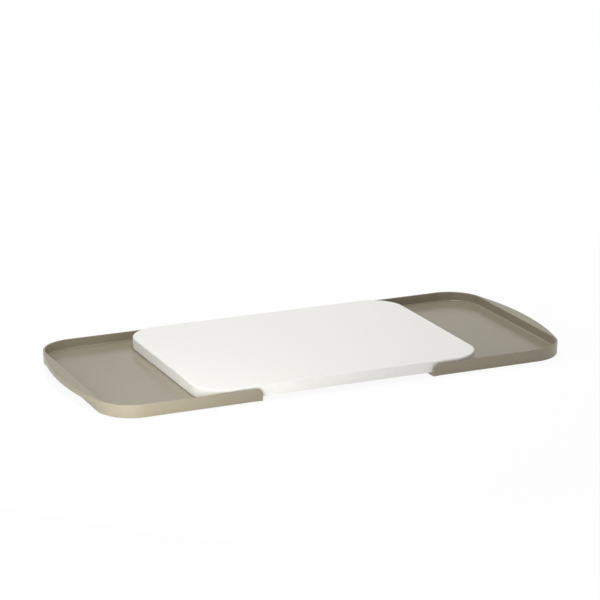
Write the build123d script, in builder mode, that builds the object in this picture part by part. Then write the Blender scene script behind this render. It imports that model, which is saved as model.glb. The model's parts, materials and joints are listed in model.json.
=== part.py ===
from build123d import *
import os
from math import atan2, cos, sin, sqrt, tan, radians

# Cutting board with two pull-out trays, drawn with both trays pulled out.
# Millimetres, +Z up, +X along the board's length towards the right tray, front edge at -Y.
# The origin lies on the table, under the middle of the board.

# Cutting board, a plain slab with rounded corners
board_length = 333.0
board_depth = 244.0
board_thickness = 12.3
board_corner_radius = 38.0
board_top_edge_radius = 1.2
board_bottom_edge_radius = 0.5
board_rest_gap = 0.3
board_side_gap = 1.0
board_end_gap = 3.4

# Trays, thin moulded shells that are open towards the middle
tray_rim_height = 14.1
tray_wall = 2.0
tray_draft_angle = 2.0
tray_floor_thickness = 2.2
tray_floor_height = 3.9
tray_floor_fillet = 0.5
tray_rim_radius = 0.7
tray_bottom_edge_radius = 0.8
tray_wall_end_radius = 8.0
tray_overlap = 66.4
tray_closed_gap = 1.0

# Finger lip along each tray's outer end
lip_reach = 11.4
lip_depth = 6.2
lip_flange = 2.0
lip_edge_wall = 2.2
lip_pocket_end_depth = 3.0
lip_pocket_corner_radius = 1.2

# Non-slip feet, four under each tray, seated in low moulded rings
foot_diameter = 14.0
foot_proud = 1.0
foot_edge_chamfer = 0.6
foot_inset = 22.0
foot_ring_wall = 1.3
foot_ring_height = 1.0
foot_clearance = 0.2

# Guide rails, let in flush under the board
rail_width = 26.0
rail_thickness = 4.4
rail_inset = 48.0
rail_end_margin = 15.0
rail_corner_radius = 6.0
rail_lip = 2.0
rail_clearance = 0.2

# Glides, one shoe near each inner corner of a tray
glide_neck_length = 13.0
glide_neck_width = 7.4
glide_head_length = 20.0
glide_head_width = 14.4
glide_head_thickness = 1.8
glide_head_chamfer = 0.4
glide_from_tray_end = 25.0
glide_seat_depth = 0.8
glide_seat_clearance = 0.1
glide_boss_diameter = 13.0
glide_boss_recess = 0.3
glide_clearance = 0.3
glide_side_clearance = 0.4

# Countersunk screws
screw_diameter = 3.0
screw_head_diameter = 5.6
screw_head_angle = 90.0
screw_clearance = 0.1
screw_tip_chamfer = 0.4
screw_tip_room = 0.5
screw_recess_length = 3.2
screw_recess_width = 0.8
screw_recess_depth = 1.0
rail_screw_length = 8.0
glide_screw_length = 6.0

# One overrun for every through cut
cut_overrun = 1.0

# Heights above the table
shell_bottom_z = foot_proud
rim_z = shell_bottom_z + tray_rim_height
floor_top_z = shell_bottom_z + tray_floor_height
floor_under_z = floor_top_z - tray_floor_thickness
lip_bottom_z = rim_z - lip_depth
board_bottom_z = floor_top_z + board_rest_gap
glide_boss_z = shell_bottom_z + glide_boss_recess
glide_seat_z = floor_top_z - glide_seat_depth
glide_head_z = board_bottom_z + rail_lip + glide_clearance

# The closed trays enclose the board and meet under its middle, with corners around its corners
tray_length = board_length / 2 + board_end_gap + tray_wall - tray_closed_gap / 2
tray_depth = board_depth + 2 * (board_side_gap + tray_wall)
tray_corner_radius = board_corner_radius + board_side_gap + tray_wall

# Places along and across the board
tray_inner_end = board_length / 2 - tray_overlap
tray_outer_end = tray_inner_end + tray_length
tray_half_depth = tray_depth / 2
tray_travel = tray_inner_end - tray_closed_gap / 2
glide_x = tray_inner_end + glide_from_tray_end
rail_y = board_depth / 2 - rail_inset
rail_length = 2 * (glide_x + glide_head_length / 2 + rail_end_margin)
rail_slot_x = glide_x - tray_travel / 2
rail_screw_x = rail_length / 2 - rail_end_margin / 2
rail_screw_places = [(x, y) for y in (-rail_y, rail_y) for x in (-rail_screw_x, 0, rail_screw_x)]

# Places under the right tray, front row first; the left tray has them mirrored
glide_places = [(glide_x, -rail_y), (glide_x, rail_y)]
foot_y = tray_half_depth - foot_inset
foot_columns = (tray_inner_end + foot_inset, tray_outer_end - foot_inset)
foot_places = [(x, y) for y in (-foot_y, foot_y) for x in foot_columns]
foot_corners = ("front_inner", "front_outer", "rear_inner", "rear_outer")

# The lip's outline is one arc that runs tangent into both corner arcs of the rim
corner_center_y = tray_half_depth - tray_corner_radius
lip_arc_rest = (lip_reach**2 + corner_center_y**2) / (2 * lip_reach)
lip_arc_radius = lip_arc_rest + tray_corner_radius
lip_arc_center_x = tray_outer_end + lip_reach - lip_arc_radius
lip_tangent_angle = atan2(corner_center_y, lip_arc_rest - lip_reach)
lip_tangent_x = tray_outer_end - tray_corner_radius * (1 - cos(lip_tangent_angle))
lip_tangent_y = corner_center_y + tray_corner_radius * sin(lip_tangent_angle)

# The finger pocket runs along that arc until only its end depth is left
lip_pocket_radius = lip_arc_radius - lip_edge_wall
lip_pocket_end_x = tray_outer_end + lip_pocket_end_depth - lip_arc_center_x
lip_pocket_length = 2 * sqrt(lip_pocket_radius**2 - lip_pocket_end_x**2)


def facing_down(z, x=0, y=0):
    """A plane at height z whose normal points at the table."""
    return Plane(origin=(x, y, z), x_dir=(1, 0, 0), z_dir=(0, 0, -1))


def make_screw(length):
    """A countersunk screw with its head face at z = 0 and its tip up along +Z."""
    shank_radius = screw_diameter / 2
    head_radius = screw_head_diameter / 2
    head_height = (head_radius - shank_radius) / tan(radians(screw_head_angle / 2))
    with BuildPart() as screw:
        with BuildSketch(Plane.XZ):
            with BuildLine():
                Polyline(
                    (0, 0),
                    (head_radius, 0),
                    (shank_radius, head_height),
                    (shank_radius, length - screw_tip_chamfer),
                    (shank_radius - screw_tip_chamfer, length),
                    (0, length),
                    close=True,
                )
            make_face()
        revolve(axis=Axis.Z)
        with BuildSketch(Plane.XY):
            Rectangle(screw_recess_length, screw_recess_width)
            Rectangle(screw_recess_width, screw_recess_length)
        extrude(amount=screw_recess_depth, mode=Mode.SUBTRACT)
    return screw.part


# Cutting board: slab, two rail recesses underneath and the screws' blind holes
with BuildPart() as cutting_board:
    with BuildSketch(Plane.XY.offset(board_bottom_z)):
        RectangleRounded(board_length, board_depth, board_corner_radius)
    extrude(amount=board_thickness)
    fillet(cutting_board.edges().group_by(Axis.Z)[-1], board_top_edge_radius)
    fillet(cutting_board.edges().group_by(Axis.Z)[0], board_bottom_edge_radius)
    with BuildSketch(Plane.XY.offset(board_bottom_z)):
        with Locations((0, -rail_y), (0, rail_y)):
            RectangleRounded(
                rail_length + 2 * rail_clearance,
                rail_width + 2 * rail_clearance,
                rail_corner_radius + rail_clearance,
            )
    extrude(amount=rail_thickness, mode=Mode.SUBTRACT)
    with BuildSketch(Plane.XY.offset(board_bottom_z)):
        with Locations(*rail_screw_places):
            Circle(screw_diameter / 2 + screw_clearance)
    extrude(amount=rail_screw_length + screw_tip_room, mode=Mode.SUBTRACT)

# Guide rail: a strip with two stepped slots, wide above for the glide's head and
# narrow below for its neck, so that the board closes the slots from above
with BuildPart() as guide_rail:
    with BuildSketch(Plane.XY.offset(board_bottom_z)):
        RectangleRounded(rail_length, rail_width, rail_corner_radius)
    extrude(amount=rail_thickness)
    with BuildSketch(Plane.XY.offset(board_bottom_z)):
        with Locations((-rail_slot_x, 0), (rail_slot_x, 0)):
            SlotOverall(
                tray_travel + glide_neck_length + 2 * glide_side_clearance,
                glide_neck_width + 2 * glide_side_clearance,
            )
    extrude(amount=rail_thickness, mode=Mode.SUBTRACT)
    with BuildSketch(Plane.XY.offset(board_bottom_z + rail_lip)):
        with Locations((-rail_slot_x, 0), (rail_slot_x, 0)):
            SlotOverall(
                tray_travel + glide_head_length + 2 * glide_side_clearance,
                glide_head_width + 2 * glide_side_clearance,
            )
    extrude(amount=rail_thickness - rail_lip, mode=Mode.SUBTRACT)
    with Locations(*[facing_down(board_bottom_z, x) for x in (-rail_screw_x, 0, rail_screw_x)]):
        CounterSinkHole(
            screw_diameter / 2 + screw_clearance,
            screw_head_diameter / 2 + screw_clearance,
            depth=rail_thickness + cut_overrun,
            counter_sink_angle=screw_head_angle,
        )

# Upper band of a tray: the rim and the finger lip in one outline, with a finger pocket
# under the lip
with BuildPart() as rim_band:
    with BuildSketch(facing_down(rim_z)):
        with BuildLine():
            band_start_x = tray_inner_end - tray_wall
            corner_start_x = tray_outer_end - tray_corner_radius
            Line((band_start_x, tray_half_depth), (band_start_x, -tray_half_depth))
            Line((band_start_x, -tray_half_depth), (corner_start_x, -tray_half_depth))
            RadiusArc(
                (corner_start_x, -tray_half_depth),
                (lip_tangent_x, -lip_tangent_y),
                -tray_corner_radius,
            )
            ThreePointArc(
                (lip_tangent_x, -lip_tangent_y),
                (tray_outer_end + lip_reach, 0),
                (lip_tangent_x, lip_tangent_y),
            )
            RadiusArc(
                (lip_tangent_x, lip_tangent_y),
                (corner_start_x, tray_half_depth),
                -tray_corner_radius,
            )
            Line((corner_start_x, tray_half_depth), (band_start_x, tray_half_depth))
        make_face()
    extrude(amount=lip_depth, taper=tray_draft_angle)
    with BuildSketch(Plane.XY.offset(lip_bottom_z)) as pocket_outline:
        with Locations((lip_arc_center_x, 0)):
            Circle(lip_pocket_radius)
        with Locations((tray_outer_end, 0)):
            Rectangle(
                lip_reach,
                lip_pocket_length,
                align=(Align.MIN, Align.CENTER),
                mode=Mode.INTERSECT,
            )
        fillet(pocket_outline.vertices(), lip_pocket_corner_radius)
    extrude(amount=lip_depth - lip_flange, mode=Mode.SUBTRACT)

# Inside of a tray: drafted walls and a rounded edge along the floor
with BuildPart() as tray_cavity:
    with BuildSketch(facing_down(rim_z)):
        RectangleRounded(
            2 * (tray_outer_end - tray_wall),
            tray_depth - 2 * tray_wall,
            tray_corner_radius - tray_wall,
        )
    extrude(amount=rim_z - floor_top_z, taper=tray_draft_angle)
    fillet(tray_cavity.edges().group_by(Axis.Z)[0], tray_floor_fillet)

# Hollow under a tray's floor, inside the low skirt
with BuildPart() as tray_underside:
    skirt_inset = tray_wall + tray_rim_height * tan(radians(tray_draft_angle))
    with BuildSketch(Plane.XY.offset(shell_bottom_z)):
        RectangleRounded(
            2 * (tray_outer_end - skirt_inset),
            tray_depth - 2 * skirt_inset,
            tray_corner_radius - skirt_inset,
        )
    extrude(amount=floor_under_z - shell_bottom_z)
    split(bisect_by=Plane.YZ.offset(tray_inner_end + tray_wall), keep=Keep.TOP)

# Right tray: shell with rim and lip, cut off square at its inner end
with BuildPart() as right_tray:
    block_inset = lip_depth * tan(radians(tray_draft_angle))
    with BuildSketch(facing_down(lip_bottom_z)):
        RectangleRounded(
            2 * (tray_outer_end - block_inset),
            tray_depth - 2 * block_inset,
            tray_corner_radius - block_inset,
        )
    extrude(amount=tray_rim_height - lip_depth, taper=tray_draft_angle)
    fillet(right_tray.edges().group_by(Axis.Z)[0], tray_bottom_edge_radius)
    add(rim_band.part)
    add(tray_cavity.part, mode=Mode.SUBTRACT)
    split(bisect_by=Plane.YZ.offset(tray_inner_end), keep=Keep.TOP)
    # Rounded upper corners of the two walls' free ends
    with BuildSketch(Plane.XZ):
        with Locations((tray_inner_end, rim_z)):
            Rectangle(
                tray_wall_end_radius,
                tray_wall_end_radius,
                align=(Align.MIN, Align.MAX),
            )
        with Locations((tray_inner_end + tray_wall_end_radius, rim_z - tray_wall_end_radius)):
            Circle(tray_wall_end_radius, mode=Mode.SUBTRACT)
    extrude(amount=tray_depth, both=True, mode=Mode.SUBTRACT)
    # One radius along the rim, over the rounded ends and down their upright edges
    fillet(right_tray.edges().group_by(Axis.Z)[-1], tray_rim_radius)
    add(tray_underside.part, mode=Mode.SUBTRACT)
    # Rings that locate the feet, and bosses that back the glides' screws
    with BuildSketch(Plane.XY.offset(floor_under_z - foot_ring_height)):
        with Locations(*foot_places):
            Circle(foot_diameter / 2 + foot_clearance + foot_ring_wall)
            Circle(foot_diameter / 2 + foot_clearance, mode=Mode.SUBTRACT)
    extrude(amount=foot_ring_height)
    with BuildSketch(Plane.XY.offset(glide_boss_z)):
        with Locations(*glide_places):
            Circle(glide_boss_diameter / 2)
    extrude(amount=floor_under_z - glide_boss_z)
    # Seats of the glides in the floor, and their countersunk screw holes
    with BuildSketch(Plane.XY.offset(glide_seat_z)):
        with Locations(*glide_places):
            SlotOverall(
                glide_neck_length + 2 * glide_seat_clearance,
                glide_neck_width + 2 * glide_seat_clearance,
            )
    extrude(amount=glide_seat_depth, mode=Mode.SUBTRACT)
    with Locations(*[facing_down(glide_boss_z, x, y) for x, y in glide_places]):
        CounterSinkHole(
            screw_diameter / 2 + screw_clearance,
            screw_head_diameter / 2 + screw_clearance,
            depth=glide_seat_z - glide_boss_z + cut_overrun,
            counter_sink_angle=screw_head_angle,
        )

# Left tray, the right one's mirror image
with BuildPart() as left_tray:
    mirror(right_tray.part, about=Plane.YZ)

# Glide: a neck that stands in the tray's floor and a head that runs in the rail
with BuildPart() as glide:
    with BuildSketch(Plane.XY.offset(glide_seat_z)):
        SlotOverall(glide_neck_length, glide_neck_width)
    extrude(amount=glide_head_z - glide_seat_z)
    with BuildSketch(Plane.XY.offset(glide_head_z)):
        SlotOverall(glide_head_length, glide_head_width)
    extrude(amount=glide_head_thickness)
    chamfer(glide.edges().group_by(Axis.Z)[-1], glide_head_chamfer)
    with BuildSketch(Plane.XY.offset(glide_seat_z)):
        Circle(screw_diameter / 2 + screw_clearance)
    extrude(
        amount=glide_boss_z + glide_screw_length + screw_tip_room - glide_seat_z,
        mode=Mode.SUBTRACT,
    )

# Foot: a round pad from the floor's underside down to the table
with BuildPart() as foot:
    with BuildSketch(Plane.XY):
        Circle(foot_diameter / 2)
    extrude(amount=floor_under_z)
    chamfer(foot.edges().group_by(Axis.Z)[0], foot_edge_chamfer)

# Every finished piece under its name
pieces = {
    "cutting_board": cutting_board.part,
    "left_tray": left_tray.part,
    "right_tray": right_tray.part,
}

for row, y in (("front", -rail_y), ("rear", rail_y)):
    with BuildPart() as placed_rail:
        with Locations((0, y)):
            add(guide_rail.part)
    pieces[f"{row}_guide_rail"] = placed_rail.part

rail_screw = make_screw(rail_screw_length)
with BuildPart() as rail_screws:
    with Locations(*[(x, y, board_bottom_z) for x, y in rail_screw_places]):
        add(rail_screw)
pieces["rail_screws"] = rail_screws.part

glide_screw = make_screw(glide_screw_length)
for side, direction in (("left", -1), ("right", 1)):
    with BuildPart() as glide_screws:
        with Locations(*[(direction * x, y, glide_boss_z) for x, y in glide_places]):
            add(glide_screw)
    pieces[f"{side}_glide_screws"] = glide_screws.part
    for row, (x, y) in zip(("front", "rear"), glide_places):
        with BuildPart() as placed_glide:
            with Locations((direction * x, y)):
                add(glide.part)
        pieces[f"{side}_{row}_glide"] = placed_glide.part
    for corner, (x, y) in zip(foot_corners, foot_places):
        with BuildPart() as placed_foot:
            with Locations((direction * x, y)):
                add(foot.part)
        pieces[f"{side}_{corner}_foot"] = placed_foot.part

os.makedirs("parts", exist_ok=True)
for name, piece in pieces.items():
    piece.label = name
    export_step(piece, f"parts/{name}.step")
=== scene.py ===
import json
import math

import bmesh
import bpy
import numpy as np
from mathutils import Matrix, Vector
from mathutils.geometry import tessellate_polygon


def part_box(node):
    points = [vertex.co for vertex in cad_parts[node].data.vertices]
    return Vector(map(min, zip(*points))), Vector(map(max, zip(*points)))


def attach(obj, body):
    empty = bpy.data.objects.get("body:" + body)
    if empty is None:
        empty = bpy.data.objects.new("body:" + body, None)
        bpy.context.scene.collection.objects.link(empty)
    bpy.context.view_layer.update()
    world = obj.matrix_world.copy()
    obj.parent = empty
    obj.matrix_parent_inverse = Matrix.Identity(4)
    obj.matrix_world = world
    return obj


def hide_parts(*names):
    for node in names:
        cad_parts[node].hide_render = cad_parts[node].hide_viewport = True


# Cutting board with two pull-out trays, seen from the front left on a white studio floor.
# Metres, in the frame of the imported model: +X towards the right tray, +Y to the rear, +Z up.

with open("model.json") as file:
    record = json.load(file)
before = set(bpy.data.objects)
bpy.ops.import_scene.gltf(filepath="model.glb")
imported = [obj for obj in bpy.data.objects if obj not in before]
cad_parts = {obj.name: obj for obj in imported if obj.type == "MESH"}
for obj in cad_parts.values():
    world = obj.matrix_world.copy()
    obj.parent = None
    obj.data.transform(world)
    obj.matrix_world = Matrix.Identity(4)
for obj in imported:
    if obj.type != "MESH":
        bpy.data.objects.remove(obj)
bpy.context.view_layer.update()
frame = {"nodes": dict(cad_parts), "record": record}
mm = 0.001

# Camera, placed by its angles and distance from a point above the board's middle
camera_azimuth = -24.04
camera_elevation = 16.2
camera_distance = 2.5832
camera_target = Vector((0.0051, 0.0168, 0.0610))
camera_lens_mm = 139.33
camera_sensor_mm = 36.0

# Studio: floor, backdrop and soft lamps, with angles in degrees as the camera has them. The floor lies just
# clear of the feet. Around the object it glows by the background's share, so that the shadow shows.
floor_size = 12.0
floor_level = -0.02 * mm
floor_colour = (0.95, 0.95, 0.95, 1.0)
background_share = 0.92
shadow_reach = 0.40
shadow_gone_beyond = 0.70
ambient_strength = 0.02
backdrop_white_up_to = 14.0
backdrop_gone_above = 24.0
lamp_target = Vector((0.0, 0.0, 0.0))
lamps = {
    "overhead_softbox": {"azimuth": 170.0, "elevation": 85.0, "distance": 1.5, "size": 0.6, "power": 12.9},
    "rear_softbox": {"azimuth": 165.0, "elevation": 50.0, "distance": 1.4, "size": 1.0, "power": 6.3},
    "corner_softbox": {"azimuth": -48.0, "elevation": 10.5, "distance": 0.52, "size": 0.2, "power": 1.27},
    "left_softbox": {"azimuth": -95.0, "elevation": 25.0, "distance": 1.0, "size": 0.5, "power": 2.2},
    "front_softbox": {"azimuth": 15.0, "elevation": 12.0, "distance": 1.1, "size": 0.5, "power": 1.66},
    "right_softbox": {"azimuth": 75.0, "elevation": 12.0, "distance": 0.9, "size": 0.4, "power": 0.84},
    "low_rear_softbox": {"azimuth": 160.0, "elevation": 9.0, "distance": 1.8, "size": 0.45, "power": 0.40},
}

# Finishes: colours in linear light
board_colour = (0.827, 0.818, 0.781)
tray_colour = (0.281, 0.247, 0.177)
rail_colour = (0.70, 0.69, 0.65)
glide_colour = (0.60, 0.59, 0.56)
rubber_colour = (0.030, 0.028, 0.025)
steel_colour = (0.58, 0.58, 0.57)

# Upward part of the normal up to which a face is a wall, and from which it is a floor
upward_on_walls = 0.1
upward_on_floors = 0.9

# Board: a slab with rounded edges, and recesses underneath for the rails and their screws
board_low, board_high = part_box("cutting_board")
rail_low, rail_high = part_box("rear_guide_rail")
board_corner = 38.0 * mm
board_top_radius = 1.2 * mm
board_bottom_radius = 0.5 * mm
recess_gap = 0.2 * mm
recess_corner = 6.2 * mm
recess_y = (rail_low.y + rail_high.y) / 2
recess_half_length = rail_high.x + recess_gap
recess_half_width = (rail_high.y - rail_low.y) / 2 + recess_gap
rail_screw_from_end = 7.5 * mm
rail_screw_x = rail_high.x - rail_screw_from_end
screw_hole_radius = 1.6 * mm
screw_hole_depth = 8.5 * mm
screw_hole_top_z = board_low.z + screw_hole_depth

# Trays: the right one is drawn, and the left one is its mirror image
tray_low, tray_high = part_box("right_tray")
board_side_gap = 1.0 * mm
board_rest_gap = 0.3 * mm
board_end_gap = 2.9 * mm
tray_wall = 2.0 * mm
wall_draft_degrees = 2.0
wall_lean = math.tan(math.radians(wall_draft_degrees))
tray_corner = board_corner + board_side_gap + tray_wall
tray_half_depth = board_high.y + board_side_gap + tray_wall
tray_inner_end = tray_low.x
tray_outer_end = tray_inner_end + board_high.x + board_end_gap + tray_wall
corner_x = tray_outer_end - tray_corner
corner_y = tray_half_depth - tray_corner
rim_z = tray_high.z
tray_bottom_z = tray_low.z
floor_z = board_low.z - board_rest_gap
floor_thickness = 2.2 * mm
floor_under_z = floor_z - floor_thickness
rim_radius = 0.7 * mm
floor_edge_radius = 1.2 * mm  # larger than the solid's, for the light line at the foot of the walls
bottom_edge_radius = 0.8 * mm
wall_end_radius = 8.0 * mm
skirt_inset = tray_wall + (rim_z - tray_bottom_z) * wall_lean

# Lip along a tray's outer end: one arc that runs into both corner arcs, with a finger pocket underneath.
# Its reach fixes its radius, and lip_rest is what that has beyond the corner's. The pocket ends where it is
# only pocket_end_depth deep in plan.
lip_reach = 11.4 * mm
lip_depth = 6.2 * mm
lip_bottom_z = rim_z - lip_depth
lip_rest = (lip_reach**2 + corner_y**2) / (2 * lip_reach)
lip_radius = lip_rest + tray_corner
lip_middle_x = tray_outer_end + lip_reach - lip_radius
lip_tangent = math.degrees(math.atan2(corner_y, lip_rest - lip_reach))
lip_flange = 2.0 * mm
lip_edge_wall = 2.2 * mm
pocket_top_z = rim_z - lip_flange
pocket_radius = lip_radius - lip_edge_wall
pocket_end_depth = 3.0 * mm
pocket_corner = 1.2 * mm
pocket_half = math.sqrt(pocket_radius**2 - (tray_outer_end + pocket_end_depth - lip_middle_x)**2)

# Foot rings, glide bosses and glide seats of a tray
foot_ring_inner = 7.2 * mm
foot_ring_outer = 8.5 * mm
foot_ring_height = 1.0 * mm
foot_ring_z = floor_under_z - foot_ring_height
boss_radius = 6.5 * mm
boss_recess = 0.3 * mm
boss_z = tray_bottom_z + boss_recess
countersink_radius = 2.9 * mm
seat_depth = 0.8 * mm
seat_z = floor_z - seat_depth
seat_half_length = 6.6 * mm
seat_half_width = 3.8 * mm

# Facets along a quarter of an edge's radius, round a corner, along the lip beside and over its pocket, and
# round a full circle
edge_steps = 5
corner_steps = 24
tangent_steps = 6
pocket_steps = 36
circle_steps = 48

# Distance within which points are joined, angle in degrees from which an edge stays sharp, and degrees
# past the tangent within which a station still lies on the lip
joining_distance = 0.002 * mm
sharp_angle = 40.0
tangent_play = 0.04

# Limits between which nearly all of a noise texture's values lie
noise_low = 0.3
noise_high = 0.7


# Lines and outlines

def arc(middle, radius, first, last, steps=edge_steps):
    """Points on a circle about a middle, from the first to the last angle in degrees, as rows of two."""
    angle = np.radians(np.linspace(first, last, steps + 1))
    return np.array(middle) + radius * np.stack([np.cos(angle), np.sin(angle)], 1)


def rounded_box(half_length, half_depth, radius, middle=(0.0, 0.0), steps=corner_steps):
    """Closed plan outline: a quarter circle about each corner's middle, joined by straight sides."""
    x = half_length - radius
    y = half_depth - radius
    quarters = [
        arc((x, y), radius, 0, 90, steps),
        arc((-x, y), radius, 90, 180, steps),
        arc((-x, -y), radius, 180, 270, steps),
        arc((x, -y), radius, 270, 360, steps),
    ]
    return np.concatenate(quarters) + np.array(middle)


def at_height(outline, z):
    """Plan outline as points in space, at one height or at one for each point."""
    return np.column_stack([outline, np.broadcast_to(z, len(outline))])


def spun(middle, profile):
    """Surface of revolution: each row is the unit circle times a profile point's radius, at its height."""
    ring = arc((0.0, 0.0), 1.0, 0, 360, circle_steps)[:-1]
    return np.stack([at_height(np.array(middle) + radius * ring, z) for radius, z in profile])


class Skin:
    """The surfaces of one piece: grids of points, and flat faces between outlines."""

    def __init__(self):
        self.points = []
        self.faces = []
        self.count = 0

    def keep(self, points):
        """Adds points and gives their numbers, in the same arrangement."""
        flat = points.reshape(-1, 3)
        numbers = np.arange(self.count, self.count + len(flat))
        self.points.append(flat)
        self.count += len(flat)
        return numbers.reshape(points.shape[:-1])

    def grid(self, points, closed=False):
        """Four-sided faces between neighbouring points; closed joins the last column to the first."""
        numbers = self.keep(points)
        if closed:
            numbers = np.concatenate([numbers, numbers[:, :1]], 1)
        this_row = numbers[:-1]
        next_row = numbers[1:]
        corners = np.stack([this_row[:, :-1], this_row[:, 1:], next_row[:, 1:], next_row[:, :-1]], -1)
        self.faces += corners.reshape(-1, 4).tolist()

    def flat(self, *outlines):
        """Triangles over a flat outline, with any further outlines as holes in it."""
        numbers = np.concatenate([self.keep(outline) for outline in outlines])
        triangles = np.array(tessellate_polygon([outline.tolist() for outline in outlines]))
        self.faces += numbers[triangles].tolist()

    def build(self, name, mirrored=False):
        """Closed mesh with its edges joined, faces turned outwards and flat faces shaded flat."""
        points = np.concatenate(self.points)
        if mirrored:
            points = points * (-1, 1, 1)
        mesh = bpy.data.meshes.new(name)
        mesh.from_pydata(points.tolist(), [], self.faces)
        work = bmesh.new()
        work.from_mesh(mesh)
        bmesh.ops.remove_doubles(work, verts=work.verts, dist=joining_distance)
        bmesh.ops.dissolve_degenerate(work, edges=work.edges, dist=joining_distance / 2)
        bmesh.ops.recalc_face_normals(work, faces=work.faces)
        work.to_mesh(mesh)
        work.free()
        mesh.shade_smooth()
        mesh.set_sharp_from_angle(angle=math.radians(sharp_angle))
        piece = bpy.data.objects.new(name, mesh)
        bpy.context.scene.collection.objects.link(piece)
        shading = piece.modifiers.new("even_shading", "WEIGHTED_NORMAL")
        shading.keep_sharp = True
        return piece


# Board

def board_skin():
    """Board: the edge's profile carried round the outline, a flat top, and an underside with recesses.
    Each profile point is an offset of the outline at its own height."""
    skin = Skin()
    upper = arc((-board_top_radius, board_high.z - board_top_radius), board_top_radius, 90, 0)
    lower = arc((-board_bottom_radius, board_low.z + board_bottom_radius), board_bottom_radius, 0, -90)
    edge = np.stack([
        at_height(rounded_box(board_high.x + out, board_high.y + out, board_corner + out), z)
        for out, z in np.concatenate([upper, lower])
    ])
    skin.grid(edge, closed=True)
    skin.flat(edge[0])
    recesses = [rail_recess(skin, y) for y in (-recess_y, recess_y)]
    skin.flat(edge[-1], *recesses)
    return skin


def rail_recess(skin, y):
    """Flat recess for a rail, with the blind holes of its three screws; gives its outline below."""
    outline = rounded_box(recess_half_length, recess_half_width, recess_corner, (0.0, y), edge_steps)
    mouth = at_height(outline, board_low.z)
    ceiling = at_height(outline, rail_high.z)
    skin.grid(np.stack([mouth, ceiling]), closed=True)
    holes = []
    for x in (-rail_screw_x, 0.0, rail_screw_x):
        hole = spun((x, y), [(screw_hole_radius, rail_high.z), (screw_hole_radius, screw_hole_top_z)])
        skin.grid(hole, closed=True)
        skin.flat(hole[-1])
        holes.append(hole[0])
    skin.flat(ceiling, *holes)
    return mouth


# Trays

floor_edge = arc((-tray_wall - floor_edge_radius, floor_z + floor_edge_radius), floor_edge_radius, -90, 0)
rim_inside = arc((-tray_wall + rim_radius, rim_z - rim_radius), rim_radius, 180, 90)
rim_outside = arc((-rim_radius, rim_z - rim_radius), rim_radius, 90, 0)
bottom_edge = arc((-bottom_edge_radius, tray_bottom_z + bottom_edge_radius), bottom_edge_radius, 0, -90)


def leaning(out, z):
    """How far a profile point lies inside the rim's outline: the walls lean in on their way down."""
    return (rim_z - z) * wall_lean - out


class OuterEnd:
    """Stations round a tray's outer end in plan, from the front corner to the rear one. Each has a start and
    a look, a unit vector that points outwards: at a corner the start is the corner's middle and the look
    turns, and between the corners the look is +X and the start moves along. A row of a surface is the
    start plus the look times a reach, at a height."""

    def __init__(self):
        to_lip = np.linspace(90, lip_tangent, corner_steps, endpoint=False)
        along_lip = np.linspace(lip_tangent, 0, tangent_steps, endpoint=False)
        turn = np.concatenate([to_lip, along_lip])
        plain = np.linspace(corner_y, pocket_half, tangent_steps + 1)
        bend = arc((0.0, pocket_half - pocket_corner), pocket_corner, 90, 0)
        straight = np.linspace(-bend[-1, 1], bend[-1, 1], pocket_steps + 1)[1:-1]
        # How far the pocket's sides draw together at its rounded ends, and no number where there is none
        no_pocket = np.full(len(turn) + len(plain), np.nan)
        half_turn = np.concatenate([turn, 0 * plain, 0 * bend[:, 0]])
        half_y = np.concatenate([np.full(len(turn), corner_y), plain, bend[:, 1]])
        half_drawn = np.concatenate([no_pocket, pocket_corner - bend[:, 0]])
        self.angle = np.radians(np.concatenate([-half_turn, 0 * straight, half_turn[::-1]]))
        self.drawn = np.concatenate([half_drawn, 0 * straight, half_drawn[::-1]])
        y = np.concatenate([-half_y, straight, half_y[::-1]])
        self.start = np.column_stack([np.full(len(y), corner_x), y])
        self.look = np.column_stack([np.cos(self.angle), np.sin(self.angle)])

    def wall(self, inset):
        """Reach of the wall's outline, drawn in by an inset."""
        return np.full(len(self.angle), tray_corner - inset)

    def circle(self, radius):
        """Reach of a circle about the lip's middle: the far root of the line's quadratic equation."""
        away = self.start - np.array((lip_middle_x, 0.0))
        along = (away * self.look).sum(1)
        return np.sqrt(along**2 - (away**2).sum(1) + radius**2) - along

    def lip(self, inset):
        """Reach of the rim's outline with its lip, drawn in by an inset."""
        on_lip = np.abs(self.angle) < math.radians(lip_tangent + tangent_play)
        return np.where(on_lip, self.circle(lip_radius - inset), self.wall(inset))

    def row(self, reach, z):
        """Points at these reaches, at one height or at one for each station."""
        return at_height(self.start + reach[:, None] * self.look, z)

    def profile(self):
        """All rows from the floor's edge over the rim, the lip and its pocket down to the bottom edge.
        Where there is no pocket, its rows lie on the line where the lip's underside meets the wall."""
        lip_inset = leaning(0.0, lip_bottom_z)
        below_lip = self.wall(lip_inset)
        has_pocket = ~np.isnan(self.drawn)
        pocket_z = np.where(has_pocket, pocket_top_z, lip_bottom_z)
        pocket_inside = np.where(has_pocket, self.wall(0.0) + self.drawn, below_lip)
        pocket_outside = np.where(has_pocket, self.circle(pocket_radius) - self.drawn, below_lip)
        rows = [self.row(self.wall(leaning(out, z)), z) for out, z in floor_edge]
        rows += [self.row(self.wall(leaning(out, z)), z) for out, z in rim_inside]
        rows += [self.row(self.lip(leaning(out, z)), z) for out, z in rim_outside]
        rows += [self.row(self.lip(lip_inset), lip_bottom_z)]
        rows += [self.row(pocket_outside, z) for z in (lip_bottom_z, pocket_z)]
        rows += [self.row(pocket_inside, z) for z in (pocket_z, lip_bottom_z)]
        rows += [self.row(below_lip, lip_bottom_z)]
        rows += [self.row(self.wall(leaning(out, z)), z) for out, z in bottom_edge]
        return np.stack(rows)


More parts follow.
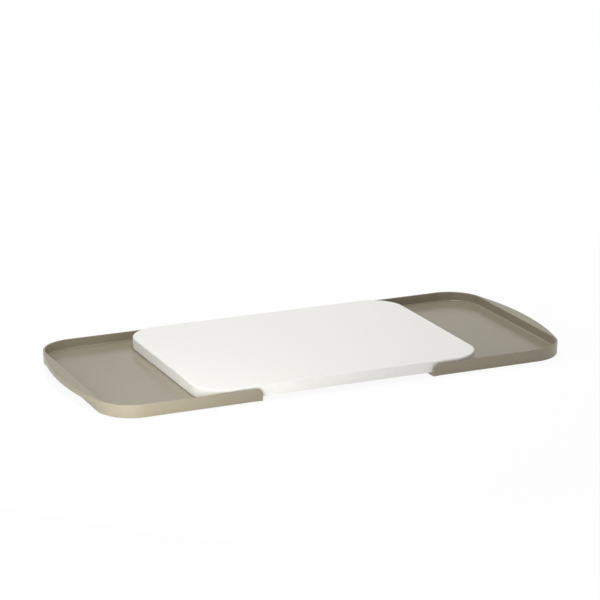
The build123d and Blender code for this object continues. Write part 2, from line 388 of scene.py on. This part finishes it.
def side_wall(skin, corner, side):
    """Straight wall from the corner's first or last profile to its free end, side -1 in front and 1 behind.
    The rim's section goes over the free end on an arc and down its upright edges, and the radii along the
    floor and the bottom run out there. Gives the wall's share of the floor, bottom and end outlines."""
    edge_points = edge_steps + 1
    section = np.concatenate([rim_inside, rim_outside])
    section_out = section[:, 0]

    def across(out, z):
        """The y of a profile point."""
        return side * (tray_half_depth - leaning(out, z))

    turned = np.radians(np.linspace(90, 0, 2 * edge_steps + 1))[:, None]
    swing = wall_end_radius + section[:, 1] - rim_z
    end_x = tray_inner_end + wall_end_radius - swing * np.sin(turned)
    end_z = rim_z - wall_end_radius + swing * np.cos(turned)
    over_end = np.stack([end_x, across(section_out, end_z), end_z], -1)
    rim = np.concatenate([over_end, corner[None, edge_points:3 * edge_points]])
    skin.grid(rim)

    inside_z = np.full(edge_points, floor_z)
    inside_y = across(section_out[:edge_points], inside_z)
    inside_foot = np.column_stack([end_x[0, :edge_points], inside_y, inside_z])
    skin.grid(np.stack([rim[0, :edge_points], inside_foot]))
    outside_z = np.full(edge_points, tray_bottom_z)
    outside_y = across(section_out[edge_points:], outside_z)
    outside_foot = np.column_stack([end_x[0, edge_points:], outside_y, outside_z])
    skin.grid(np.stack([rim[0, edge_points:], outside_foot]))

    def run_out(edge, sharp_edge, rows):
        """Strip whose radius grows from nothing at the free end to its full size, then follows the wall."""
        grown = np.array([0.0, 1.0])[:, None, None]
        out, z = np.moveaxis(sharp_edge + grown * (edge - sharp_edge), -1, 0)
        x = tray_inner_end + np.broadcast_to([[rim_radius], [wall_end_radius]], z.shape)
        strip = np.concatenate([np.stack([x, across(out, z), z], -1), rows[None]])
        skin.grid(strip)
        return strip

    floor_strip = run_out(floor_edge, np.array((-tray_wall, floor_z)), corner[:edge_points])
    bottom_strip = run_out(bottom_edge, np.array((0.0, tray_bottom_z)), corner[-edge_points:])
    skin.flat(np.concatenate([floor_strip[:, -1], rim[::-1, 0]]))
    skin.flat(np.concatenate([bottom_strip[:, 0], corner[None, -edge_points - 1], rim[::-1, -1]]))
    floor_outline = np.concatenate([inside_foot[::-1], floor_strip[1:-1, 0]])
    bottom_outline = np.concatenate([outside_foot, bottom_strip[1:-1, -1]])
    end_outline = np.stack([outside_foot[0], rim[0, edge_points], rim[0, edge_points - 1], inside_foot[-1]])
    return floor_outline, bottom_outline, end_outline


def tray_underside(skin, skirt):
    """Underside of the floor inside the skirt, with a ring round each foot and a boss with a countersunk
    hole under each glide; gives the outlines of the glides' seats, which are let into the floor's top."""
    holes = []
    for node in ("front_inner", "front_outer", "rear_inner", "rear_outer"):
        low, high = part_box(f"right_{node}_foot")
        ring = spun(((low + high) / 2)[:2], [
            (foot_ring_outer, floor_under_z),
            (foot_ring_outer, foot_ring_z),
            (foot_ring_inner, foot_ring_z),
            (foot_ring_inner, floor_under_z),
        ])
        skin.grid(ring, closed=True)
        skin.flat(ring[-1])
        holes.append(ring[0])
    seats = []
    for node in ("front", "rear"):
        low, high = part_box(f"right_{node}_glide")
        middle = ((low + high) / 2)[:2]
        boss = spun(middle, [
            (boss_radius, floor_under_z),
            (boss_radius, boss_z),
            (countersink_radius, boss_z),
            (screw_hole_radius, boss_z + countersink_radius - screw_hole_radius),
            (screw_hole_radius, seat_z),
        ])
        skin.grid(boss, closed=True)
        holes.append(boss[0])
        outline = rounded_box(seat_half_length, seat_half_width, seat_half_width, middle, 2 * edge_steps)
        seat = np.stack([at_height(outline, floor_z), at_height(outline, seat_z)])
        skin.grid(seat, closed=True)
        skin.flat(seat[1], boss[-1])
        seats.append(seat[0])
    skin.flat(skirt, *holes)
    return seats


def tray_skin():
    """Right tray: the wall's profile carried round the outer end, two straight walls with free ends, and
    the flat faces between them: floor, bottom of the skirt, underside and the open inner end."""
    skin = Skin()
    end = OuterEnd()
    profile = end.profile()
    skin.grid(profile)
    front_floor, front_bottom, front_end = side_wall(skin, profile[:, 0], -1)
    rear_floor, rear_bottom, rear_end = side_wall(skin, profile[:, -1], 1)
    skin.flat(np.concatenate([front_end, rear_end[::-1]]))

    skirt_x = tray_inner_end + tray_wall
    skirt_y = tray_half_depth - skirt_inset
    round_end = end.start + end.wall(skirt_inset)[:, None] * end.look
    skirt = np.concatenate([[(skirt_x, -skirt_y)], round_end, [(skirt_x, skirt_y)]])
    skirt_faces = np.stack([at_height(skirt, tray_bottom_z), at_height(skirt, floor_under_z)])
    skin.grid(skirt_faces, closed=True)
    skin.flat(np.concatenate([front_bottom, profile[-1], rear_bottom[::-1]]), skirt_faces[0])
    seats = tray_underside(skin, skirt_faces[1])
    skin.flat(np.concatenate([front_floor, profile[0], rear_floor[::-1]]), *seats)
    return skin


# Finishes

def new_finish(name, shine):
    """A node material and its shader; shine is the strength of its plain reflection."""
    material = bpy.data.materials.new(name)
    material.use_nodes = True
    tree = material.node_tree
    shader = tree.nodes["Principled BSDF"]
    shader.inputs["Specular IOR Level"].default_value = shine
    return material, tree, shader


def grain(tree, size, detail, stretch=(1.0, 1.0, 1.0)):
    """Noise on the piece's own coordinates, with specks about size across, drawn out along each axis."""
    place = tree.nodes.new("ShaderNodeTexCoord")
    scale = tree.nodes.new("ShaderNodeMapping")
    scale.inputs["Scale"].default_value = [1.0 / (size * longer) for longer in stretch]
    tree.links.new(place.outputs["Object"], scale.inputs["Vector"])
    noise = tree.nodes.new("ShaderNodeTexNoise")
    noise.inputs["Scale"].default_value = 1.0
    noise.inputs["Detail"].default_value = detail
    tree.links.new(scale.outputs["Vector"], noise.inputs["Vector"])
    return noise.outputs["Fac"]


def tint(tree, shader, noise, colour, change):
    """Base colour that goes a little darker and lighter with the noise, by the share given."""
    ramp = tree.nodes.new("ShaderNodeValToRGB")
    dark, light = ramp.color_ramp.elements
    dark.position = noise_low
    dark.color = (*[channel * (1 - change) for channel in colour], 1.0)
    light.position = noise_high
    light.color = (*[channel * (1 + change) for channel in colour], 1.0)
    tree.links.new(noise, ramp.inputs["Fac"])
    tree.links.new(ramp.outputs["Color"], shader.inputs["Base Color"])


def wandering(tree, noise, low, high):
    """A value that wanders between two limits with the noise."""
    spread = tree.nodes.new("ShaderNodeMapRange")
    spread.inputs["From Min"].default_value = noise_low
    spread.inputs["From Max"].default_value = noise_high
    spread.inputs["To Min"].default_value = low
    spread.inputs["To Max"].default_value = high
    tree.links.new(noise, spread.inputs["Value"])
    return spread.outputs["Result"]


def gloss(tree, shader, noise, smooth, rough):
    """Roughness that wanders between two values with the noise."""
    tree.links.new(wandering(tree, noise, smooth, rough), shader.inputs["Roughness"])


def looking_up(tree):
    """A share that is 1 on faces that look up, such as a tray's floor and the top of its rim, and 0 on its
    walls and on faces that look down. It follows the upward part of the normal."""
    surface = tree.nodes.new("ShaderNodeNewGeometry")
    split = tree.nodes.new("ShaderNodeSeparateXYZ")
    tree.links.new(surface.outputs["Normal"], split.inputs[0])
    share = tree.nodes.new("ShaderNodeMapRange")
    share.inputs["From Min"].default_value = upward_on_walls
    share.inputs["From Max"].default_value = upward_on_floors
    tree.links.new(split.outputs["Z"], share.inputs["Value"])
    return share.outputs["Result"]


def relief(tree, shader, noise, height, strength):
    """Fine bumps of that height, in metres."""
    bump = tree.nodes.new("ShaderNodeBump")
    bump.inputs["Distance"].default_value = height
    bump.inputs["Strength"].default_value = strength
    tree.links.new(noise, bump.inputs["Height"])
    tree.links.new(bump.outputs["Normal"], shader.inputs["Normal"])


def board_plastic():
    """Satin white cutting plastic with a fine pebble grain."""
    material, tree, shader = new_finish("board_plastic", shine=0.5)
    pebbles = grain(tree, size=0.7 * mm, detail=3.0)
    tint(tree, shader, grain(tree, size=6.0 * mm, detail=4.0), board_colour, change=0.012)
    gloss(tree, shader, pebbles, smooth=0.44, rough=0.58)
    relief(tree, shader, pebbles, height=0.012 * mm, strength=0.5)
    return material


def tray_plastic():
    """Moulded plastic in warm grey-beige with an eroded mould's texture, polished on the floor and satin on
    the walls."""
    material, tree, shader = new_finish("tray_plastic", shine=0.5)
    texture = grain(tree, size=0.5 * mm, detail=3.0)
    tint(tree, shader, grain(tree, size=4.0 * mm, detail=4.0), tray_colour, change=0.025)
    polished = wandering(tree, texture, low=0.18, high=0.26)
    satin = wandering(tree, texture, low=0.28, high=0.38)
    blend = tree.nodes.new("ShaderNodeMix")
    tree.links.new(looking_up(tree), blend.inputs["Factor"])
    tree.links.new(satin, blend.inputs["A"])
    tree.links.new(polished, blend.inputs["B"])
    tree.links.new(blend.outputs["Result"], shader.inputs["Roughness"])
    relief(tree, shader, texture, height=0.012 * mm, strength=0.5)
    return material


def rail_plastic():
    """Natural white moulded plastic, rubbed in fine lines along the travel."""
    material, tree, shader = new_finish("rail_plastic", shine=0.5)
    rubbing = grain(tree, size=0.4 * mm, detail=3.0, stretch=(40.0, 1.0, 1.0))
    tint(tree, shader, grain(tree, size=3.0 * mm, detail=3.0), rail_colour, change=0.03)
    gloss(tree, shader, rubbing, smooth=0.28, rough=0.48)
    relief(tree, shader, rubbing, height=0.01 * mm, strength=0.4)
    return material


def glide_plastic():
    """Smooth low-friction plastic, polished in lines by sliding."""
    material, tree, shader = new_finish("glide_plastic", shine=0.5)
    polish = grain(tree, size=0.3 * mm, detail=2.0, stretch=(30.0, 1.0, 1.0))
    tint(tree, shader, grain(tree, size=2.0 * mm, detail=3.0), glide_colour, change=0.03)
    gloss(tree, shader, polish, smooth=0.16, rough=0.30)
    relief(tree, shader, polish, height=0.006 * mm, strength=0.3)
    return material


def foot_rubber():
    """Matte dark rubber with a dusty, finely pitted skin."""
    material, tree, shader = new_finish("foot_rubber", shine=0.35)
    pits = grain(tree, size=0.4 * mm, detail=4.0)
    tint(tree, shader, grain(tree, size=1.5 * mm, detail=5.0), rubber_colour, change=0.25)
    gloss(tree, shader, pits, smooth=0.68, rough=0.88)
    relief(tree, shader, pits, height=0.03 * mm, strength=0.7)
    return material


def screw_steel():
    """Stainless steel with fine drawn lines."""
    material, tree, shader = new_finish("screw_steel", shine=0.5)
    shader.inputs["Metallic"].default_value = 1.0
    lines = grain(tree, size=0.12 * mm, detail=3.0, stretch=(25.0, 1.0, 1.0))
    tint(tree, shader, lines, steel_colour, change=0.08)
    gloss(tree, shader, lines, smooth=0.24, rough=0.42)
    relief(tree, shader, lines, height=0.004 * mm, strength=0.4)
    return material


finishes = {
    "board_white": board_plastic(),
    "tray_taupe": tray_plastic(),
    "rail_plastic": rail_plastic(),
    "glide_plastic": glide_plastic(),
    "foot_rubber": foot_rubber(),
    "screw_steel": screw_steel(),
}


def take_finish(obj, slot):
    """Gives a piece or a node the finish of one of the record's material slots."""
    obj.data.materials.clear()
    obj.data.materials.append(finishes[slot])


def set_piece(piece, body, node, slot):
    """Lets a new piece stand for a node, move with its body and take its finish."""
    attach(piece, body)
    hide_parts(node)
    take_finish(piece, slot)


for part in frame["record"]["subparts"]:
    take_finish(frame["nodes"][part["node"]], part["material_slot"])
set_piece(board_skin().build("board_slab"), "board", "cutting_board", "board_white")
set_piece(tray_skin().build("left_tray_shell", mirrored=True), "left_drawer", "left_tray", "tray_taupe")
set_piece(tray_skin().build("right_tray_shell"), "right_drawer", "right_tray", "tray_taupe")


# Studio

def seen_directly(tree):
    """A 0 or 1 output: 1 for camera, mirror and transmission rays, which see the background."""
    path = tree.nodes.new("ShaderNodeLightPath")
    seen = path.outputs["Is Camera Ray"]
    for ray in ("Is Glossy Ray", "Is Transmission Ray"):
        either = tree.nodes.new("ShaderNodeMath")
        either.operation = "MAXIMUM"
        tree.links.new(seen, either.inputs[0])
        tree.links.new(path.outputs[ray], either.inputs[1])
        seen = either.outputs[0]
    return seen


def times(tree, value, factor):
    """Product of two outputs."""
    product = tree.nodes.new("ShaderNodeMath")
    product.operation = "MULTIPLY"
    tree.links.new(value, product.inputs[0])
    tree.links.new(factor, product.inputs[1])
    return product.outputs[0]


def floor_glow(tree):
    """Share of glow in the floor: not all of it around the object, so that its shadow shows, and all of it
    further out. It grows with the distance from the origin."""
    place = tree.nodes.new("ShaderNodeTexCoord")
    distance = tree.nodes.new("ShaderNodeVectorMath")
    distance.operation = "LENGTH"
    tree.links.new(place.outputs["Object"], distance.inputs[0])
    share = tree.nodes.new("ShaderNodeMapRange")
    share.interpolation_type = "SMOOTHSTEP"
    share.inputs["From Min"].default_value = shadow_reach
    share.inputs["From Max"].default_value = shadow_gone_beyond
    share.inputs["To Min"].default_value = background_share
    tree.links.new(distance.outputs["Value"], share.inputs["Value"])
    return share.outputs["Result"]


def lay_floor():
    """White floor that glows where it is seen, with the object's shadow showing through."""
    half = floor_size / 2
    mesh = bpy.data.meshes.new("studio_floor")
    corners = rounded_box(half, half, 0.0, steps=0)
    mesh.from_pydata(at_height(corners, floor_level).tolist(), [], [range(len(corners))])
    floor = bpy.data.objects.new("studio_floor", mesh)
    bpy.context.scene.collection.objects.link(floor)
    material, tree, paint = new_finish("studio_floor_paint", shine=0.0)
    paint.inputs["Base Color"].default_value = floor_colour
    paint.inputs["Roughness"].default_value = 1.0
    glow = tree.nodes.new("ShaderNodeEmission")
    mix = tree.nodes.new("ShaderNodeMixShader")
    tree.links.new(times(tree, seen_directly(tree), floor_glow(tree)), mix.inputs["Fac"])
    tree.links.new(paint.outputs[0], mix.inputs[1])
    tree.links.new(glow.outputs[0], mix.inputs[2])
    tree.links.new(mix.outputs[0], tree.nodes["Material Output"].inputs["Surface"])
    mesh.materials.append(material)


def hang_backdrop():
    """World that is white where it is seen up to the backdrop's height, and dim ambient light elsewhere."""
    world = bpy.data.worlds.new("studio_world")
    bpy.context.scene.world = world
    world.use_nodes = True
    tree = world.node_tree
    place = tree.nodes.new("ShaderNodeTexCoord")
    split = tree.nodes.new("ShaderNodeSeparateXYZ")
    tree.links.new(place.outputs["Generated"], split.inputs[0])
    height = tree.nodes.new("ShaderNodeMapRange")
    height.interpolation_type = "SMOOTHSTEP"
    height.inputs["From Min"].default_value = math.sin(math.radians(backdrop_gone_above))
    height.inputs["From Max"].default_value = math.sin(math.radians(backdrop_white_up_to))
    tree.links.new(split.outputs["Z"], height.inputs["Value"])
    strength = tree.nodes.new("ShaderNodeMapRange")
    strength.inputs["To Min"].default_value = ambient_strength
    strength.inputs["To Max"].default_value = 1.0
    tree.links.new(times(tree, seen_directly(tree), height.outputs["Result"]), strength.inputs["Value"])
    background = tree.nodes["Background"]
    background.inputs["Color"].default_value = (1.0, 1.0, 1.0, 1.0)
    tree.links.new(strength.outputs["Result"], background.inputs["Strength"])


def place_facing(obj, toward, target, distance):
    """Puts a lamp or camera at that distance from a target, looking at it."""
    obj.location = target + toward * distance
    obj.rotation_mode = "QUATERNION"
    obj.rotation_quaternion = toward.to_track_quat("Z", "Y")
    bpy.context.scene.collection.objects.link(obj)


def direction_from(azimuth, elevation):
    """Unit vector from the object towards a place at these angles in degrees, azimuth 0 at the front."""
    turn = math.radians(azimuth)
    rise = math.radians(elevation)
    return Vector((math.sin(turn) * math.cos(rise), -math.cos(turn) * math.cos(rise), math.sin(rise)))


def set_lamps():
    """Square soft lamps around the object, all aimed at one point under its middle."""
    for name, lamp in lamps.items():
        light = bpy.data.lights.new(name, "AREA")
        light.shape = "SQUARE"
        light.size = lamp["size"]
        light.energy = lamp["power"]
        toward = direction_from(lamp["azimuth"], lamp["elevation"])
        softbox = bpy.data.objects.new(name, light)
        place_facing(softbox, toward, lamp_target, lamp["distance"])


def set_camera():
    """Camera at the photograph's angle, with its long lens."""
    lens = bpy.data.cameras.new("photo_camera")
    lens.lens = camera_lens_mm
    lens.sensor_width = camera_sensor_mm
    camera = bpy.data.objects.new("photo_camera", lens)
    toward = direction_from(camera_azimuth, camera_elevation)
    place_facing(camera, toward, camera_target, camera_distance)
    bpy.context.scene.camera = camera


lay_floor()
hang_backdrop()
set_lamps()
set_camera()
bpy.context.scene.view_settings.view_transform = "Standard"
